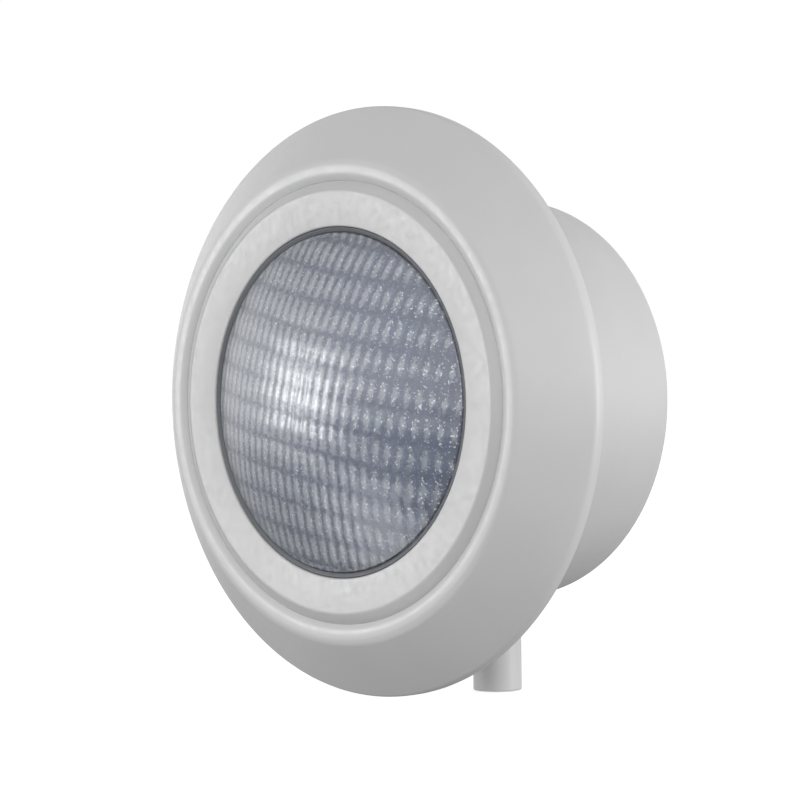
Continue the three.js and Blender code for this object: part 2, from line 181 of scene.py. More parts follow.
# How finely round pieces are divided
ON_AXIS = 1e-6
SIDES = 256
MIRROR_SIDES = 192
SMALL_SIDES = 64
SCREW_SIDES = 40
HOLE_SIDES = 24
LENS_SIDES = 480
LENS_RINGS = 98


# --- Mesh helpers ---

def rounded(corners, steps=6):
    """Points along corners of (radius, depth) or (radius, depth, rounding)."""
    points = []
    for i, corner in enumerate(corners):
        at = Vector(corner[:2])
        if len(corner) < 3:
            points.append(at)
            continue
        before = at + (Vector(corners[i - 1][:2]) - at).normalized() * corner[2]
        after = at + (Vector(corners[(i + 1) % len(corners)][:2]) - at).normalized() * corner[2]
        for k in range(steps + 1):
            t = k / steps
            points.append(before * (1 - t) ** 2 + at * 2 * t * (1 - t) + after * t ** 2)
    return points


def arc(radius, centre, start, end, steps):
    """Points on a circle round (0, centre), between two radii from the axis."""
    angles = np.linspace(math.asin(start / radius), math.asin(end / radius), steps)
    return [Vector((radius * math.sin(a), centre + radius * math.cos(a))) for a in angles]


def linked(name, mesh):
    """A new object in the scene for a mesh."""
    obj = bpy.data.objects.new(name, mesh)
    bpy.context.scene.collection.objects.link(obj)
    return obj


def piece(name, verts, faces):
    """A new piece from points in metres and faces."""
    mesh = bpy.data.meshes.new(name)
    mesh.from_pydata([tuple(v) for v in verts], [], faces)
    return linked(name, mesh)


def turned(name, points, sides=SIDES):
    """Turns (radius, depth) points round the Y axis. They end on it, or close on themselves."""
    closed = points[-1][0] > ON_AXIS
    verts = []
    rings = []
    for radius, depth in points:
        if radius < ON_AXIS:
            rings.append([len(verts)] * sides)
            verts.append((0, -depth * MM, 0))
            continue
        rings.append(list(range(len(verts), len(verts) + sides)))
        for k in range(sides):
            a = 2 * math.pi * k / sides
            verts.append((radius * math.cos(a) * MM, -depth * MM, radius * math.sin(a) * MM))
    faces = []
    count = len(rings)
    for i in range(count if closed else count - 1):
        low, high = rings[i], rings[(i + 1) % count]
        for k in range(sides):
            j = (k + 1) % sides
            corners = [low[k], low[j], high[j], high[k]]
            faces.append(tuple(dict.fromkeys(corners)))
    return outward(piece(name, verts, faces))


def outward(obj):
    """Turns every face's normal outward."""
    bm = bmesh.new()
    bm.from_mesh(obj.data)
    bmesh.ops.recalc_face_normals(bm, faces=bm.faces)
    bm.to_mesh(obj.data)
    bm.free()
    return obj


def smooth(obj, angle=32):
    """Smooth shading, with a sharp edge wherever two faces meet at more than an angle."""
    bm = bmesh.new()
    bm.from_mesh(obj.data)
    limit = math.radians(angle)
    for face in bm.faces:
        face.smooth = True
    for edge in bm.edges:
        edge.smooth = len(edge.link_faces) != 2 or edge.calc_face_angle(0) < limit
    bm.to_mesh(obj.data)
    bm.free()
    return obj


def combined(obj, other, operation):
    """A boolean of two pieces, kept in the first one."""
    change = obj.modifiers.new("boolean", "BOOLEAN")
    change.operation = operation
    change.solver = "EXACT"
    change.object = other
    graph = bpy.context.evaluated_depsgraph_get()
    mesh = bpy.data.meshes.new_from_object(obj.evaluated_get(graph))
    obj.modifiers.clear()
    obj.data = mesh
    bpy.data.objects.remove(other)
    return obj


def joined(name, parts):
    """Several pieces as one, side by side."""
    bm = bmesh.new()
    for part in parts:
        bm.from_mesh(part.data)
        bpy.data.objects.remove(part)
    mesh = bpy.data.meshes.new(name)
    bm.to_mesh(mesh)
    bm.free()
    return linked(name, mesh)


def moved(obj, matrix):
    obj.data.transform(matrix)
    return obj


def place(x=0, y=0, z=0, turn=0):
    """A position in millimetres, after a turn about the X axis."""
    return Matrix.Translation((x * MM, y * MM, z * MM)) @ Matrix.Rotation(turn, 4, "X")


def around(radius, angle):
    return radius * math.cos(angle), radius * math.sin(angle)


def bar(radius, low, high, x=0, z=0, sides=SMALL_SIDES):
    """A round bar along Y between two depths."""
    corners = [Vector(p) for p in ((0, low), (radius, low), (radius, high), (0, high))]
    return moved(turned("bar", corners, sides), place(x, 0, z))


def bars(radius, low, high, circle, angles, sides=HOLE_SIDES):
    """Round bars along Y, one at each angle on a circle."""
    return [bar(radius, low, high, *around(circle, a), sides) for a in angles]


def block(radius, angle, thickness, width, low, high):
    """A block that stands on a circle round the axis, its width along the tangent."""
    bm = bmesh.new()
    bmesh.ops.create_cube(bm, size=1)
    bmesh.ops.scale(bm, vec=Vector((thickness, high - low, width)) * MM, verts=bm.verts)
    mesh = bpy.data.meshes.new("block")
    bm.to_mesh(mesh)
    bm.free()
    x, z = around(radius, angle)
    spot = Matrix.Translation((x * MM, -(low + high) / 2 * MM, z * MM))
    return moved(linked("block", mesh), spot @ Matrix.Rotation(-angle, 4, "Y"))


def hexagon(radius, low, high):
    """A six-sided nut along Y, its corners turned off at both ends as on a real nut."""
    flats = moved(bar(radius, low, high, sides=6), Matrix.Rotation(math.pi / 6, 4, "Y"))
    reach, flat, margin, drop = radius + 0.1, radius - 1.3, 0.1, 0.9
    limit = rounded([
        (0, low - margin),
        (flat, low - margin),
        (reach, low + drop),
        (reach, high - drop),
        (flat, high + margin),
        (0, high + margin),
    ])
    return combined(flats, turned("limit", limit, SMALL_SIDES), "INTERSECT")


def threaded(radius, low, high, pitch, height):
    """The corners of a threaded stretch: a row of small ridges from low to high."""
    count = max(1, round(abs(high - low) / pitch))
    step = (high - low) / count
    corners = []
    for i in range(count):
        start = low + i * step
        corners += [(radius - height, start), (radius, start + step * 0.35)]
        corners += [(radius, start + step * 0.65)]
    return corners + [(radius - height, high)]


def tube(name, points, radius, sides=16):
    """A round wire along points in millimetres, with closed ends."""
    path = [Vector(p) for p in points]
    verts = []
    side = None
    for i, at in enumerate(path):
        along = (path[min(i + 1, len(path) - 1)] - path[max(i - 1, 0)]).normalized()
        if side is None:
            side = along.orthogonal().normalized()
        side = (side - along * side.dot(along)).normalized()
        other = along.cross(side)
        for k in range(sides):
            a = 2 * math.pi * k / sides
            verts.append((at + (side * math.cos(a) + other * math.sin(a)) * radius) * MM)
    faces = [tuple(range(sides)), tuple(range(len(verts) - sides, len(verts)))]
    for i in range(len(path) - 1):
        for k in range(sides):
            j = (k + 1) % sides
            low, high = i * sides, (i + 1) * sides
            faces.append((low + k, low + j, high + j, high + k))
    return outward(piece(name, verts, faces))


def curve_through(points, steps=8):
    """Points on a smooth curve through the given ones."""
    first = Vector(points[0]) * 2 - Vector(points[1])
    last = Vector(points[-1]) * 2 - Vector(points[-2])
    known = [first] + [Vector(p) for p in points] + [last]
    route = []
    for a, b, c, d in zip(known, known[1:], known[2:], known[3:]):
        for k in range(steps):
            t = k / steps
            route.append(0.5 * (2 * b + (c - a) * t + (2 * a - 5 * b + 4 * c - d) * t ** 2
                                + (3 * b - a - 3 * c + d) * t ** 3))
    return route + [known[-2]]


# --- Materials ---

def material(name, **sockets):
    """A Principled material, its uniform values set on the shader's own sockets."""
    made = bpy.data.materials.new(name)
    made.use_nodes = True
    shader = made.node_tree.nodes["Principled BSDF"]
    for socket, value in sockets.items():
        shader.inputs[socket.replace("_", " ")].default_value = value
    return made, made.node_tree, shader


def noise(tree, scale, detail):
    """A noise that moves with the piece. Its scale is in waves per metre."""
    where = tree.nodes.new("ShaderNodeTexCoord")
    texture = tree.nodes.new("ShaderNodeTexNoise")
    texture.inputs["Scale"].default_value = scale
    texture.inputs["Detail"].default_value = detail
    tree.links.new(where.outputs["Object"], texture.inputs["Vector"])
    return texture.outputs["Fac"]


def ranged(tree, value, low, high, start=0.3, end=0.7):
    """Spreads a value's stretch from start to end, a noise's middle, over low to high."""
    spread = tree.nodes.new("ShaderNodeMapRange")
    spread.inputs["From Min"].default_value = start
    spread.inputs["From Max"].default_value = end
    spread.inputs["To Min"].default_value = low
    spread.inputs["To Max"].default_value = high
    tree.links.new(value, spread.inputs["Value"])
    return spread.outputs["Result"]


def tinted(tree, value, dark, light, start=0.3, end=0.7):
    """A colour between dark and light, as a value goes from start to end."""
    ramp = tree.nodes.new("ShaderNodeValToRGB")
    ramp.color_ramp.elements[0].position = start
    ramp.color_ramp.elements[1].position = end
    ramp.color_ramp.elements[0].color = (*dark, 1)
    ramp.color_ramp.elements[1].color = (*light, 1)
    tree.links.new(value, ramp.inputs["Fac"])
    return ramp.outputs["Color"]


def bumped(tree, shader, height, distance, strength):
    """Gives the surface a fine relief, its height in metres."""
    bump = tree.nodes.new("ShaderNodeBump")
    bump.inputs["Distance"].default_value = distance
    bump.inputs["Strength"].default_value = strength
    tree.links.new(height, bump.inputs["Height"])
    tree.links.new(bump.outputs["Normal"], shader.inputs["Normal"])


def moulded(name, dark, light, roughness, grain):
    """Moulded plastic: faint clouding in the colour, and a fine grain in gloss and surface."""
    made, tree, shader = material(name, IOR=1.5)
    clouding, gloss = noise(tree, 14, 3), noise(tree, 260, 3)
    tree.links.new(tinted(tree, clouding, dark, light), shader.inputs["Base Color"])
    tree.links.new(ranged(tree, gloss, *roughness), shader.inputs["Roughness"])
    bumped(tree, shader, noise(tree, 1100, 2), distance=0.00006, strength=grain)
    return made


def metal(name, dark, light, roughness, scale):
    """Bare metal: one scale of tarnish in the colour, and finer ones in gloss and surface."""
    made, tree, shader = material(name, Metallic=1.0)
    tarnish, gloss = noise(tree, scale, 4), noise(tree, scale * 3, 4)
    tree.links.new(tinted(tree, tarnish, dark, light), shader.inputs["Base Color"])
    tree.links.new(ranged(tree, gloss, *roughness), shader.inputs["Roughness"])
    bumped(tree, shader, noise(tree, scale * 5, 2), distance=0.00003, strength=0.3)
    return made


def maths(tree, operation, first, second=0.0):
    """One step of arithmetic on sockets or plain numbers."""
    step = tree.nodes.new("ShaderNodeMath")
    step.operation = operation
    for socket, value in zip(step.inputs, (first, second)):
        if isinstance(value, (int, float)):
            socket.default_value = value
        else:
            tree.links.new(value, socket)
    return step.outputs["Value"]


def times(tree, first, second):
    return maths(tree, "MULTIPLY", first, second)


def plus(tree, first, second):
    return maths(tree, "ADD", first, second)


def minus(tree, first, second):
    return maths(tree, "SUBTRACT", first, second)


def at_least(tree, value, least):
    return maths(tree, "MAXIMUM", value, least)


def wave(tree, value, length):
    """A cosine wave from 0 to 1 that is 1 in the middle of each length."""
    angle = times(tree, value, 2 * math.pi / (length * MM))
    return minus(tree, 0.5, times(tree, maths(tree, "COSINE", angle), 0.5))


def brick_pattern(tree):
    """Waves for the lens's flutes, bricks and courses, and the distance to the right."""
    where = tree.nodes.new("ShaderNodeTexCoord")
    split = tree.nodes.new("ShaderNodeSeparateXYZ")
    tree.links.new(where.outputs["Object"], split.inputs["Vector"])
    cos, sin = math.cos(LAMP_TURN), math.sin(LAMP_TURN)
    x, z = split.outputs["X"], split.outputs["Z"]
    across = minus(tree, times(tree, x, cos), times(tree, z, sin))
    up = plus(tree, times(tree, x, sin), times(tree, z, cos))
    row = plus(tree, up, (ROW_OFFSET + BRICK_HEIGHT / 2) * MM)
    flute = wave(tree, across, FLUTE_PITCH)
    return flute, wave(tree, row, BRICK_HEIGHT), wave(tree, row, COURSE_HEIGHT), x


def lens_glass():
    """Pressed glass: a painted highlight in the middle of each brick, painted glints and painted
    shade towards the right, under a glossy face.
    """
    made, tree, shader = material(
        "lens_glass", IOR=1.5, Coat_Weight=1.0, Coat_Roughness=0.36, Coat_IOR=1.85)
    flute, brick, course, right = brick_pattern(tree)

    # A painted highlight as a dash in each brick and a fine painted line of light on each course,
    # both following the glass's real bricks, and a speckle all over.
    dash = times(tree, maths(tree, "POWER", flute, 1.3), maths(tree, "POWER", brick, 0.9))
    fine = times(tree, times(tree, flute, course), 0.45)
    speckle = ranged(tree, noise(tree, 620, 2), -0.35, 0.55)
    light = plus(tree, plus(tree, times(tree, dash, 1.75), fine), speckle)

    # Painted shade darkens the right half, and painted glints, pale spots where a fine noise peaks,
    # are stronger there.
    light = minus(tree, light, at_least(tree, times(tree, right, 11.0), 0.0))
    peaks = ranged(tree, noise(tree, 780, 1), 0.0, 1.0, start=0.6, end=0.74)
    # Painted glints: pale spots where the noise peaks, standing in for sparkles of light, at least
    # 0.3 strong and stronger to the right.
    painted_glints = times(tree, peaks, at_least(tree, times(tree, right, 14.0), 0.3))
    light = plus(tree, light, painted_glints)
    # The glass's colour runs from dark to pale with this painted light and shade.
    colour = tinted(tree, light, (0.25, 0.30, 0.43), (0.91, 0.95, 1.0), start=0.0, end=1.0)
    tree.links.new(colour, shader.inputs["Base Color"])

    # The glass lets less light through at the painted glints, so they show pale.
    clear = at_least(tree, minus(tree, 0.8, times(tree, painted_glints, 0.7)), 0.3)
    tree.links.new(clear, shader.inputs["Transmission Weight"])
    tree.links.new(ranged(tree, noise(tree, 500, 3), 0.12, 0.25), shader.inputs["Roughness"])
    bumped(tree, shader, noise(tree, 420, 3), distance=0.0004, strength=0.8)
    return made


# Each plastic and rubber: its darker and lighter colour, its roughness, and its grain's strength.
body_plastic = moulded(
    "body_plastic", (0.525, 0.525, 0.53), (0.565, 0.565, 0.57), (0.30, 0.42), 0.35)
bezel_plastic = moulded(
    "bezel_plastic", (0.47, 0.47, 0.475), (0.51, 0.51, 0.515), (0.30, 0.42), 0.35)
housing_plastic = moulded(
    "housing_plastic", (0.50, 0.51, 0.50), (0.56, 0.57, 0.56), (0.42, 0.56), 0.6)
silicone = moulded("silicone", (0.085, 0.09, 0.10), (0.12, 0.125, 0.135), (0.42, 0.6), 0.6)
nylon = moulded("nylon", (0.018, 0.018, 0.02), (0.03, 0.03, 0.032), (0.35, 0.5), 0.7)
lead_rubber = moulded("lead_rubber", (0.02, 0.04, 0.11), (0.03, 0.06, 0.15), (0.4, 0.5), 0.4)
glass = lens_glass()

# Each metal: its darker and lighter colour, its roughness, and the scale of its tarnish.
mirror = metal("mirror", (0.89, 0.90, 0.92), (0.95, 0.96, 0.98), (0.46, 0.6), 40)
brass = metal("brass", (0.55, 0.40, 0.16), (0.68, 0.52, 0.24), (0.22, 0.4), 300)
steel = metal("steel", (0.52, 0.53, 0.55), (0.64, 0.65, 0.67), (0.2, 0.36), 300)
tungsten = metal("tungsten", (0.12, 0.12, 0.13), (0.2, 0.2, 0.21), (0.4, 0.6), 400)

LOOKS = {
    "body_plastic": body_plastic,
    "housing_plastic": housing_plastic,
    "lens_glass": glass,
    "mirror": mirror,
    "seal_rubber": silicone,
    "brass": brass,
    "steel": steel,
    "tungsten": tungsten,
    "gland_nylon": nylon,
    "lead_rubber": lead_rubber,
}


def dress_solids():
    """The plain solids wear the same looks as the finer pieces that replace them."""
    for part in frame["record"]["subparts"]:
        node = frame["nodes"][part["node"]]
        node.data.materials.clear()
        node.data.materials.append(LOOKS[part["material_slot"]])


def dressed(obj, look, body, node):
    """Finishes a piece: its look, the body it moves with and the node it replaces."""
    obj.data.materials.clear()
    obj.data.materials.append(look)
    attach(obj, body)
    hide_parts(node)


# --- The cover ring ---

def cover_ring():
    collar = COVER_OPENING + COLLAR_WALL
    inside = FACE_DEPTH - FACE_WALL
    points = rounded([
        (RIM_RADIUS, 0, 0.5),
        (RIM_RADIUS, RIM_EDGE, 1.6),
        (*FLARE_BEND, 10),
        (FACE_RADIUS, FACE_DEPTH, 2.4),
        (COVER_OPENING + 2.8, FACE_DEPTH, 2.4),
        (COVER_OPENING, FACE_DEPTH - LIP, 0.15),
        (COVER_OPENING, COLLAR_BACK, 0.5),
        (collar, COLLAR_BACK, 0.5),
        (collar, inside, 0.8),
        (FACE_RADIUS, inside, 2),
        (RIM_RADIUS - RIM_WALL, RIM_EDGE - 1, 1),
        (RIM_RADIUS - RIM_WALL, 0, 0.5),
    ])
    ring = turned("cover_ring", points)
    root = HOUSING_FACE + FINGER_ROOM
    fingers = [block(FINGER_CIRCLE, a, FINGER_THICKNESS, FINGER_WIDTH, root, FINGER_TOP)
               for a in FINGER_ANGLES]
    combined(ring, joined("fingers", fingers), "UNION")
    dressed(smooth(ring), body_plastic, "cover", "trim_ring")


# --- The bezel and the lens's seal ---

def bezel():
    seam = COVER_OPENING - 0.02
    foot = BEZEL_BASE + BEZEL_FOOT
    inside = BEZEL_RADIUS - BEZEL_WALL
    points = rounded([
        (BEZEL_FOOT_RADIUS, BEZEL_BASE, 0.4),
        (BEZEL_FOOT_RADIUS, foot, 0.8),
        (BEZEL_RADIUS, foot, 0.6),
        (BEZEL_RADIUS, BEZEL_STEP, 0.2),
        (seam, BEZEL_STEP + 0.5, 0.2),
        (seam, FACE_DEPTH - LIP - 0.05, 0.15),
        (105.6, FACE_DEPTH, 2.4),  # the shoulder beside the seam
        (*CREST, 1.4),
        (LENS_OPENING, OPENING_DEPTH, 0.8),
        (LENS_OPENING, LIP_BACK, 0.3),
        (92.2, LIP_BACK),  # the seal lies between here and the opening
        (99, LIP_BACK + 0.9, 1),
        (inside, LIP_BACK - 1.5, 1),
        (inside, BEZEL_BASE),
    ])
    ring = turned("bezel", points)
    holes = bars(CLAMP_HOLE, BEZEL_BASE - 1, foot + 1, CLAMP_CIRCLE, CLAMP_ANGLES)
    combined(ring, joined("holes", holes), "DIFFERENCE")
    dressed(smooth(ring), bezel_plastic, "light_unit", "lamp_bezel")


def lens_seal():
    on_glass = DOME_EDGE + 0.15
    in_opening = LENS_OPENING - 0.1
    round_lamp = LAMP_RADIUS + CLEARANCE
    points = rounded([
        (on_glass, LENS_SEAT + CLEARANCE),
        (on_glass, LIP_BACK + 1.3, 0.8),
        (in_opening, OPENING_DEPTH - 0.5, 0.9),
        (in_opening, LIP_BACK - CLEARANCE),
        (GASKET_RADIUS, LIP_BACK - CLEARANCE, 0.5),
        (GASKET_RADIUS, GASKET_BACK, 0.5),
        (round_lamp, GASKET_BACK, 0.3),
        (round_lamp, LENS_SEAT + CLEARANCE),
    ])
    ring = turned("lens_seal", points)
    dressed(smooth(ring), silicone, "light_unit", "lens_gasket")


# --- The lamp ---

def waves(x, z):
    """Where a point at x, z in millimetres lies in its flute, brick and course, from -1 to 1,
    and the numbers of its column and row."""
    across = x * math.cos(LAMP_TURN) - z * math.sin(LAMP_TURN)
    up = x * math.sin(LAMP_TURN) + z * math.cos(LAMP_TURN) + ROW_OFFSET
    row = np.floor(up / BRICK_HEIGHT + 0.5)
    column = np.floor(across / FLUTE_PITCH)
    flute = (across / FLUTE_PITCH) % 1.0 * 2 - 1
    brick = (up / BRICK_HEIGHT + 0.5) % 1.0 * 2 - 1
    course = (up / COURSE_HEIGHT + 0.5) % 1.0 * 2 - 1
    return flute, brick, course, column, row


def swell(value):
    """1 in the middle of a wave and 0 at its ends, without a crease."""
    return 0.5 + 0.5 * np.cos(math.pi * value)


def scattered(column, row):
    """Two numbers from -0.5 to 0.5 for each brick. Large factors put them out of order."""
    seed = np.sin(column * 12.9898 + row * 78.233) * 43758.5453
    return seed % 1.0 - 0.5, (seed * 7.31) % 1.0 - 0.5


def leaning(flute, brick, column, row, across, up):
    """Each brick leans its own way."""
    first, second = scattered(column, row)
    tilt = across * first * np.sin(math.pi * flute) * swell(brick)
    return tilt + up * second * np.sin(math.pi * brick) * swell(flute)


def outer_relief(x, z):
    flute, brick, course, column, row = waves(x, z)
    flutes, bricks, courses = OUTER_HEIGHTS
    dome = flutes * swell(flute) + bricks * swell(brick) + courses * swell(course) - 0.5
    return dome + leaning(flute, brick, column, row, *OUTER_LEAN)


def inner_relief(x, z):
    flute, brick, course, column, row = waves(x, z)
    flutes, bricks, courses = INNER_HEIGHTS
    bowl = 1.0 - flutes * swell(flute) - bricks * swell(brick) - courses * swell(course)
    return bowl + leaning(flute, brick, column, row, *INNER_LEAN)


def pressed(co, relief, dome, edge):
    """Moves the points of one face of the lens along the axis by its relief, less at the edge."""
    tolerance = 0.1
    radius = np.hypot(co[:, 0], co[:, 2])
    surface = DOME_APEX - DOME_RADIUS + np.sqrt(dome ** 2 - np.minimum(radius, dome) ** 2)
    on_dome = (np.abs(-co[:, 1] - surface) < tolerance) & (radius < edge + tolerance)
    fade = np.clip((edge - radius) / RELIEF_FADE, 0, 1)
    co[:, 1] -= np.where(on_dome, relief(co[:, 0], co[:, 2]) * fade, 0)


def lens():
    centre = DOME_APEX - DOME_RADIUS
    inner_dome = DOME_RADIUS - GLASS_THICKNESS
    inner_edge = DOME_EDGE - GLASS_THICKNESS
    outer = arc(DOME_RADIUS, centre, 0.0, DOME_EDGE, LENS_RINGS)
    inner = arc(inner_dome, centre, inner_edge, 0.0, LENS_RINGS)
    rim = rounded([
        (DOME_EDGE, LENS_SEAT),
        (LAMP_RADIUS, LENS_SEAT, 1),
        (LAMP_RADIUS, LENS_BACK, 1),
        (inner_edge, LENS_BACK),
    ], 3)
    obj = turned("lens", outer + rim + inner, LENS_SIDES)
    co = np.zeros(len(obj.data.vertices) * 3)
    obj.data.vertices.foreach_get("co", co)
    co = co.reshape(-1, 3) / MM
    pressed(co, outer_relief, DOME_RADIUS, DOME_EDGE)
    pressed(co, inner_relief, inner_dome, inner_edge)
    obj.data.vertices.foreach_set("co", (co * MM).ravel())
    obj.data.update()
    dressed(smooth(obj, 80), glass, "light_unit", "lamp_lens")


def mirror_radius(depth):
    """The radius of the parabola at a depth."""
    return math.sqrt(4 * FOCAL * (depth - MIRROR_VERTEX))


def parabola(start, end, steps, wall=0):
    return [Vector((mirror_radius(d) + wall, d)) for d in np.linspace(start, end, steps)]


def reflector():
    floor_top = MIRROR_VERTEX + MIRROR_FLOOR
    floor_back = MIRROR_VERTEX - MIRROR_FLOOR
    flange_back = MIRROR_FRONT - MIRROR_FLANGE
    inside = parabola(MIRROR_FRONT, floor_top, 40)
    outside = parabola(floor_top, flange_back, 30, MIRROR_WALL)
    back = rounded([(0, floor_back), (mirror_radius(floor_top) + MIRROR_WALL, floor_back, 1.5)])
    rim = rounded([
        outside[-1],
        (LAMP_RADIUS, flange_back, 0.8),
        (LAMP_RADIUS, MIRROR_FRONT, 0.8),
        inside[0],
    ])
    points = back + outside + rim[1:-1] + inside + [Vector((0, floor_top))]
    bowl = turned("reflector", points, MIRROR_SIDES)
    holes = [bar(POST_HOLE, floor_back - 1, floor_top + 1, x, 0, HOLE_SIDES)
             for x in (-TERMINAL_X, TERMINAL_X)]
    combined(bowl, joined("holes", holes), "DIFFERENCE")
    dressed(smooth(bowl), mirror, "light_unit", "lamp_reflector")


# --- The housing behind the lamp ---

def housing():
    points = rounded([
        (0, -HOUSING_BACK),
        (54, -HOUSING_BACK, 8),  # round the bowl's bottom
        (94, -2, 3),  # and up to its mouth
        (94.5, HOUSING_FACE, 0.5),
        (HOUSING_RIM, HOUSING_FACE, 0.5),
        (HOUSING_RIM, HOUSING_TOP, 0.8),
        (HOUSING_STEP, HOUSING_TOP, 0.5),
        (HOUSING_STEP, HOUSING_SEAT, 0.6),
        (SEAT_BORE, HOUSING_SEAT, 0.5),
        (SEAT_BORE, HOUSING_SEAT - 3),
        (HOUSING_BORE, HOUSING_SEAT - 8),
        (HOUSING_BORE, -3, 3),
        (51.5, HOUSING_WALL - HOUSING_BACK, 6),
        (0, HOUSING_WALL - HOUSING_BACK),
    ])
    bowl = turned("housing", points)
    slot = (FINGER_THICKNESS + 2 * FINGER_ROOM, FINGER_WIDTH + 2 * FINGER_ROOM)
    cutters = bars(CLAMP_HOLE, *FLANGE_CUT, CLAMP_CIRCLE, CLAMP_ANGLES)
    cutters += bars(FIXING_HOLE, *FLANGE_CUT, FIXING_CIRCLE, FIXING_ANGLES)
    cutters += [block(FINGER_CIRCLE, a, *slot, *FLANGE_CUT) for a in FINGER_ANGLES]
    back_cut = (-HOUSING_BACK - 1, HOUSING_WALL + 1 - HOUSING_BACK)
    cutters += [bar(GLAND_HOLE, *back_cut, 0, HOUSING_GLAND_Z)]
    combined(bowl, joined("cutters", cutters), "DIFFERENCE")
    dressed(smooth(bowl), housing_plastic, "light_unit", "lamp_housing")


# --- The niche body ---

def niche():
    inner = NICHE_RADIUS - NICHE_WALL
    points = rounded([
        (0, -NICHE_DEPTH),
        (NICHE_RADIUS, -NICHE_DEPTH, 4),
        (NICHE_RADIUS, 0, 1),
        (FLANGE_RADIUS, 0, 0.5),
        (FLANGE_RADIUS, FLANGE_THICKNESS, 0.8),
        (inner, FLANGE_THICKNESS, 0.8),
        (inner, NICHE_WALL - NICHE_DEPTH, 2),
        (0, NICHE_WALL - NICHE_DEPTH),
    ])
    shell = turned("niche", points)
    holes = bars(INSERT_HOLE, -1, FLANGE_THICKNESS + 1, FIXING_CIRCLE, FIXING_ANGLES, 32)
    way = bar(STUB_RADIUS + CLEARANCE, -15, 15, sides=96)
    moved(way, place(0, STUB_Y, -NICHE_RADIUS, math.pi / 2))
    combined(shell, joined("holes", holes + [way]), "DIFFERENCE")
    dressed(smooth(shell), body_plastic, "niche", "niche_shell")


def stub():
    """The conduit stub, with a narrow neck at its top that takes the niche's gland."""
    length = STUB_TOP - STUB_BOTTOM
    points = rounded([
        (STUB_RADIUS, 0, 0.5),
        (STUB_RADIUS, length, 0.8),
        (STUB_BORE, length, 0.6),
        (STUB_BORE, 18),
        (GLAND_HOLE, 16),
        (GLAND_HOLE, 0, 0.5),
    ])
    pipe = turned("stub", points, 128)
    moved(pipe, place(0, STUB_Y, STUB_TOP, math.pi / 2))
    dressed(smooth(pipe), body_plastic, "niche", "conduit_stub")


# --- Fasteners, glands and seals ---

def slotted_screw(name, x, z, face, head, shank, length, turn=0):
    """A pan-head screw whose head stands on a face, pointing to the pool before its turn."""
    height = head * 0.75
    slot_width, slot_depth = 1, 0.95
    pitch, ridge = 0.7, 0.22
    profile = [
        (0, height),
        (head * 0.55, height, 0.6),
        (head, height * 0.45, 0.8),
        (head, 0, 0.2),
        (shank, 0),
        *threaded(shank, -0.6, 1.2 - length, pitch, ridge),
        (shank * 0.5, -length),
        (0, -length),
    ]
    obj = turned(name, rounded(profile, 4), SCREW_SIDES)
    slot = block(0, 0, head * 2.2, slot_width, height - slot_depth, height + 1)
    combined(obj, slot, "DIFFERENCE")
    moved(obj, place(x, -face, z, turn))
    return smooth(obj)


def clamp_screws():
    face = BEZEL_BASE + (BEZEL_FOOT + CLEARANCE)
    for i, angle in enumerate(CLAMP_ANGLES):
        x, z = around(CLAMP_CIRCLE, angle)
        obj = slotted_screw(f"clamp_screw_{i + 1}", x, z, face, *CLAMP_SCREW)
        dressed(obj, steel, "light_unit", f"bezel_screw_{i + 1}")


def mounting_screws():
    """The screws that hold the light unit in the niche, and their threaded inserts."""
    pitch, ridge = 1.3, 0.35
    profile = [
        (INSERT_BORE, FLANGE_THICKNESS, 0.3),
        (INSERT_RADIUS, FLANGE_THICKNESS, 0.3),
        *threaded(INSERT_RADIUS, 3.2, -7.2, pitch, ridge),
        (INSERT_RADIUS, INSERT_END, 0.2),
        (INSERT_BORE, INSERT_END, 0.2),
    ]
    for i, angle in enumerate(FIXING_ANGLES):
        x, z = around(FIXING_CIRCLE, angle)
        obj = slotted_screw(f"mounting_screw_{i + 1}", x, z, HOUSING_TOP + CLEARANCE, *FIXING_SCREW)
        dressed(obj, steel, "light_unit", f"fixing_screw_{i + 1}")
        insert = turned(f"threaded_insert_{i + 1}", rounded(profile, 3), 48)
        moved(insert, place(x, 0, z))
        dressed(smooth(insert), brass, "niche", f"niche_insert_{i + 1}")


def gland_barrel(name, thread, hex_radius):
    """The gland's body: a thread through the wall, a hexagon, and a socket for the seal."""
    bore, socket, cap_thread = 5, 7.3, 9.2
    tail, flange, socket_floor, top = -12, 2.1, 8, 12.5
    pitch = 1.4
    profile = [
        (bore, tail, 0.4),
        (thread - 0.2, tail, 0.3),
        *threaded(thread, -11.4, 0, pitch, 0.5),
        (thread, 0),
        (thread, flange),
        (cap_thread, flange),
        *threaded(cap_thread, 6.4, 12, pitch, 0.45),
        (9.1, top, 0.3),
        (socket, top, 0.3),
        (socket, socket_floor),
        (bore, socket_floor, 0.3),
    ]
    barrel = turned(name, rounded(profile, 4), SMALL_SIDES)
    way = bar(8.5, flange - 1, flange + 5)
    flats = combined(hexagon(hex_radius, flange + 0.02, flange + 4), way, "DIFFERENCE")
    return combined(barrel, flats, "UNION")


def gland_cap(name, hex_radius):
    """The cap nut that squeezes the seal: a hexagon with a domed end, hollow inside."""
    dome = rounded([(0, 8), (10, 8), (10, 17, 1.6), (7.5, 19, 0.8), (0, 19)])
    hollow = rounded([(0, 5), (9.5, 5), (9.5, 14.3), (5, 16.5), (5, 20), (0, 20)])
    nut = combined(hexagon(hex_radius, 6.5, 14.5), turned("cap", dome, SMALL_SIDES), "UNION")
    combined(nut, turned("bore", hollow, SMALL_SIDES), "DIFFERENCE")
    nut.name = name
    return nut


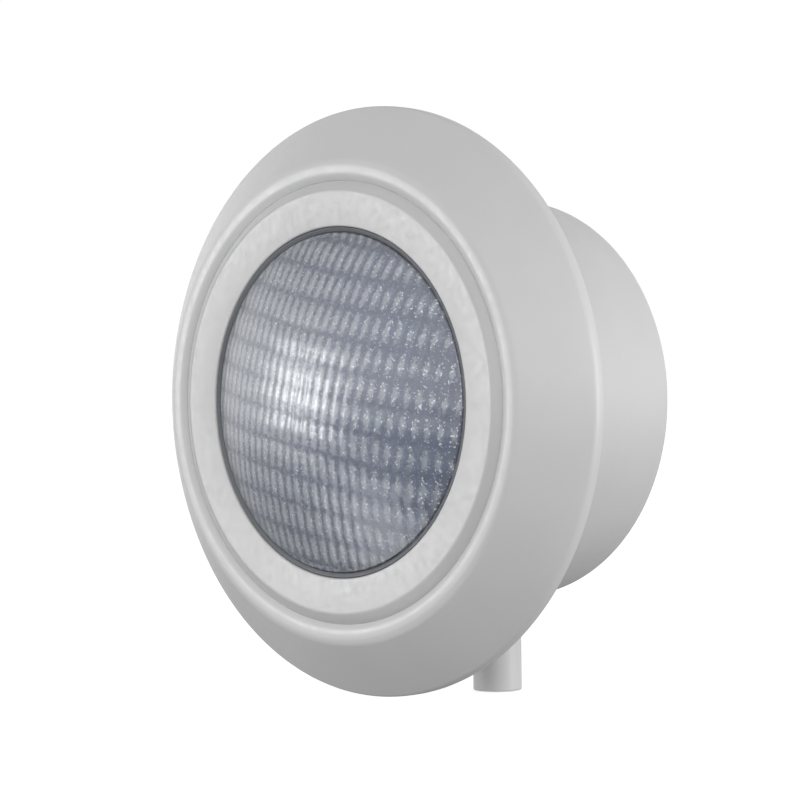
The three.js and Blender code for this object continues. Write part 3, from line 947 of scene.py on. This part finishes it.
def gland(prefix, body, at, locked=False):
    """A cable gland: its body through the wall, a washer, a seal squeezed by the cap nut, and a
    locknut inside the wall where it is locked."""
    thread, hex_radius = 8, 12
    barrel = gland_barrel(f"{prefix}_barrel", thread, hex_radius)
    cap = gland_cap(f"{prefix}_cap_nut", hex_radius)
    washer = turned(f"{prefix}_flat_washer", rounded([
        (8.3, CLEARANCE, 0.3), (11, CLEARANCE, 0.3), (11, 1.8, 0.3), (8.3, 1.8, 0.3),
    ]), SMALL_SIDES)
    seal = turned(f"{prefix}_cable_seal", rounded([
        (4.8, 8.3, 0.5), (7, 8.3, 0.3), (7, 14, 0.8), (4.8, 14, 0.5),
    ]), SMALL_SIDES)
    made = [
        (barrel, nylon, "gland_nylon", "body"),
        (cap, nylon, "gland_nylon", "nut"),
        (washer, silicone, "seal_rubber", "washer"),
        (seal, silicone, "seal_rubber", "seal"),
    ]
    if locked:
        locknut = combined(hexagon(hex_radius, -7.3, -3.3), bar(8.3, -9, 0), "DIFFERENCE")
        locknut.name = f"{prefix}_ring_nut"
        made.append((locknut, nylon, "gland_nylon", "locknut"))
    for obj, look, slot, part in made:
        dressed(smooth(moved(obj, at)), look, body, f"{prefix}_{part}")


def glands():
    gland("niche_gland", "niche", place(0, STUB_Y, STUB_TOP, -math.pi / 2))
    gland("housing_gland", "light_unit", place(0, HOUSING_BACK, HOUSING_GLAND_Z, math.pi),
          locked=True)


def flat_ring(name, inner, outer, low, high, rounding):
    return turned(name, rounded([
        (inner, low, rounding), (outer, low, rounding),
        (outer, high, rounding), (inner, high, rounding),
    ]))


def seals():
    seat = flat_ring("seat_ring", 87, 95, HOUSING_SEAT + CLEARANCE, 15.6, 0.8)
    dressed(smooth(seat), silicone, "light_unit", "seat_gasket")
    flange = flat_ring("flange_ring", 100.2, BEZEL_RADIUS - 3.8, BEZEL_BASE, 11.1, 0.6)
    dressed(smooth(flange), silicone, "light_unit", "housing_seal")


# --- Inside the lamp: filament, posts, terminals and leads ---

def filament():
    """A coil that hangs in a shallow arch between the two posts."""
    turns, steps = 14, 12
    length, sag, radius, wire = 17.2, 2.4, 0.85, 0.22
    coil = []
    for k in range(turns * steps + 1):
        t = k / (turns * steps)
        x = -length / 2 + length * t
        drop = sag * min(1, 4 * t, 4 * (1 - t))
        a = 2 * math.pi * turns * t
        coil.append((x, FILAMENT_Y + radius * math.cos(a), drop + radius * math.sin(a)))
    obj = tube("coil_filament", coil, wire, 8)
    dressed(smooth(obj), tungsten, "light_unit", "filament")


def post(side, number):
    x = side * TERMINAL_X
    path = curve_through([
        (x, 39.7, 0),
        (x, 31.7, 0),
        (side * 9.5, FILAMENT_Y + 7.5, 0),
        (side * 9, FILAMENT_Y + 1.5, 0),
    ])
    obj = tube(f"support_wire_{number}", path, 1.15)
    dressed(smooth(obj), tungsten, "light_unit", f"filament_post_{number}")


def terminal(side, number):
    """A brass stud on the back of the lamp, and the screw in its end."""
    x = side * TERMINAL_X
    radius, length, bore, bore_depth = 6, 8, 2.1, 6.5
    stud = turned(f"terminal_stud_{number}", rounded([
        (0, TERMINAL_BACK + length),
        (radius, TERMINAL_BACK + length, 0.5),
        (radius, TERMINAL_BACK, 0.5),
        (bore, TERMINAL_BACK, 0.2),
        (bore, TERMINAL_BACK + bore_depth),
        (0, TERMINAL_BACK + bore_depth),
    ]), 48)
    moved(stud, place(x))
    dressed(smooth(stud), brass, "light_unit", f"terminal_{number}")
    screw = slotted_screw(
        f"stud_screw_{number}", x, 0, TERMINAL_BACK - 1.6, *STUD_SCREW, turn=math.pi)
    dressed(screw, steel, "light_unit", f"terminal_screw_{number}")


def lug(side, number):
    """A crimped lug: an eye under the terminal's screw, a tongue, and a grip on the lead."""
    low, high = TERMINAL_BACK - 1.3, TERMINAL_BACK - 0.3
    eye = turned("eye", rounded([
        (2.2, low, 0.2), (5.2, low, 0.3), (5.2, high, 0.3), (2.2, high, 0.2),
    ]), 48)
    tongue = block(6.5, math.pi / 2, 4, 3.4, TERMINAL_BACK - 1.25, TERMINAL_BACK - 0.35)
    end, waist = 2.2, 1.9
    grip = turned("grip", rounded([
        (0, -2.7),
        (end, -2.7, 0.4),
        (end, -1.5, 0.3),
        (waist, -1.2, 0.4),
        (waist, 0.6, 0.4),
        (end, 0.9, 0.3),
        (end, 2.7, 0.4),
        (0, 2.7),
    ]), 32)
    moved(grip, place(0, LUG_Y, 12.2, math.pi / 2))
    combined(combined(eye, tongue, "UNION"), grip, "UNION")
    eye.name = f"crimp_eye_{number}"
    moved(eye, place(side * TERMINAL_X))
    dressed(smooth(eye), brass, "light_unit", f"terminal_lug_{number}")


def lead(side, number):
    """A lead from the housing's gland to the lug on its terminal."""
    x = side * TERMINAL_X
    route = curve_through([
        (side * 2.4, 53, 32),
        (side * 2.7, 46, 31.5),
        (side * 5, 41.5, 28),
        (side * 9.5, 41.5, 22.5),
        (x, 45.5, 18.5),
        (x, LUG_Y, 16.2),
        (x, LUG_Y, 14),
    ])
    obj = tube(f"flex_lead_{number}", route, 1.7)
    dressed(smooth(obj), lead_rubber, "light_unit", f"lead_wire_{number}")


def lamp_insides():
    filament()
    for side, number in ((-1, 1), (1, 2)):
        post(side, number)
        terminal(side, number)
        lug(side, number)
        lead(side, number)


# --- The stage ---

CAMERA_AZIMUTH = math.radians(43.7)
CAMERA_ELEVATION = math.radians(0.5)
CAMERA_ROLL = math.radians(-0.7)
CAMERA_DISTANCE = 1.5
CAMERA_RIGHT = 0.01106  # how far its target is to the right of the light's middle, and above it
CAMERA_UP = 0.0008
SENSOR = 36
FOCAL_LENGTH = 137.0

GROUND_LEVEL = 0.36  # brightness of the surroundings
HORIZON_LEVEL = 1.03
SKY_LEVEL = 0.47

FLOOR_HALF = 20
FLOOR_GAP = 0.0005


def aim(azimuth, elevation):
    """The direction from the light towards a viewpoint."""
    flat = math.cos(elevation)
    return Vector((math.sin(azimuth) * flat, -math.cos(azimuth) * flat, math.sin(elevation)))


def facing(towards):
    """The turn of a camera or a lamp that looks back along a direction."""
    return (-towards).to_track_quat("-Z", "Y").to_matrix().to_4x4()


def camera():
    towards = aim(CAMERA_AZIMUTH, CAMERA_ELEVATION)
    turn = facing(towards) @ Matrix.Rotation(CAMERA_ROLL, 4, "Z")
    right, up = turn.col[0].to_3d(), turn.col[1].to_3d()
    target = right * CAMERA_RIGHT + up * CAMERA_UP
    data = bpy.data.cameras.new("camera")
    data.sensor_width = SENSOR
    data.lens = FOCAL_LENGTH
    obj = linked("camera", data)
    obj.matrix_world = Matrix.Translation(target + towards * CAMERA_DISTANCE) @ turn
    bpy.context.scene.camera = obj


def softbox(name, azimuth, elevation, distance, size, power,
            diffuse=True, glossy=True, through_glass=False):
    """A round softbox, in degrees, metres and watts. The last three say which rays see it."""
    towards = aim(math.radians(azimuth), math.radians(elevation))
    data = bpy.data.lights.new(name, "AREA")
    data.shape = "DISK"
    data.size = size
    data.energy = power
    obj = linked(name, data)
    obj.matrix_world = Matrix.Translation(towards * distance) @ facing(towards)
    obj.visible_diffuse = diffuse
    obj.visible_glossy = glossy
    obj.visible_transmission = through_glass


def world():
    """Pale all round near the horizon, softer above, and dim below."""
    made = bpy.data.worlds.new("studio")
    made.use_nodes = True
    tree = made.node_tree
    where = tree.nodes.new("ShaderNodeTexCoord")
    split = tree.nodes.new("ShaderNodeSeparateXYZ")
    ramp = tree.nodes.new("ShaderNodeValToRGB")
    height = tree.nodes.new("ShaderNodeMapRange")
    height.inputs["From Min"].default_value = -1
    height.inputs["From Max"].default_value = 1
    stops = (
        (0.0, GROUND_LEVEL), (0.4, GROUND_LEVEL),
        (0.49, HORIZON_LEVEL), (0.6, HORIZON_LEVEL),
        (0.75, SKY_LEVEL), (1.0, SKY_LEVEL),
    )
    ramp.color_ramp.elements[0].position = stops[0][0]
    ramp.color_ramp.elements[1].position = stops[-1][0]
    for position, _ in stops[1:-1]:
        ramp.color_ramp.elements.new(position)
    for element, (_, level) in zip(ramp.color_ramp.elements, stops):
        element.color = (level, level, level, 1)
    tree.links.new(where.outputs["Generated"], split.inputs["Vector"])
    tree.links.new(split.outputs["Z"], height.inputs["Value"])
    tree.links.new(height.outputs["Result"], ramp.inputs["Fac"])
    tree.links.new(ramp.outputs["Color"], tree.nodes["Background"].inputs["Color"])
    bpy.context.scene.world = made


def floor():
    """A plain pale floor just under the conduit stub, which lights nothing itself."""
    half = FLOOR_HALF
    corners = [(-half, -half, 0), (half, -half, 0), (half, half, 0), (-half, half, 0)]
    obj = piece("floor", corners, [(0, 1, 2, 3)])
    obj.location.z = cad_box[0][2] - FLOOR_GAP
    made, tree, shader = material(
        "floor", Roughness=0.9, Emission_Color=(1, 1, 1, 1), Emission_Strength=0.6)
    colour = tinted(tree, noise(tree, 3, 2), (0.93, 0.93, 0.93), (0.95, 0.95, 0.95))
    tree.links.new(colour, shader.inputs["Base Color"])
    obj.data.materials.append(made)
    obj.visible_diffuse = obj.visible_glossy = obj.visible_transmission = False


camera()
world()
floor()
softbox("key", -45, 3, distance=1.6, size=0.5, power=3.8)
softbox("highlight", -45, 3, distance=1.6, size=0.4, power=3.2, diffuse=False)
softbox("left", -78, 5, distance=2.2, size=1.3, power=13, glossy=False)
softbox("front_right", 62, 14, distance=2.2, size=1.3, power=9.5)
softbox("right", 115, 5, distance=2.2, size=1.3, power=24)
softbox("front_top", 20, 35, distance=2.0, size=1.3, power=4)
softbox("lamp_high", -25, 40, distance=2.0, size=1.3, power=2.8,
        diffuse=False, through_glass=True)
softbox("lamp_low", -25, -40, distance=2.0, size=1.3, power=9,
        diffuse=False, through_glass=True)
for azimuth, elevation in ((-16, 8), (-4, -5), (6, 7), (15, -3)):
    softbox("glint", azimuth, elevation, distance=1.6, size=0.09, power=0.35)

dress_solids()
cover_ring()
bezel()
lens_seal()
lens()
reflector()
housing()
niche()
stub()
clamp_screws()
mounting_screws()
glands()
seals()
lamp_insides()
bpy.context.scene.view_settings.view_transform = "Standard"
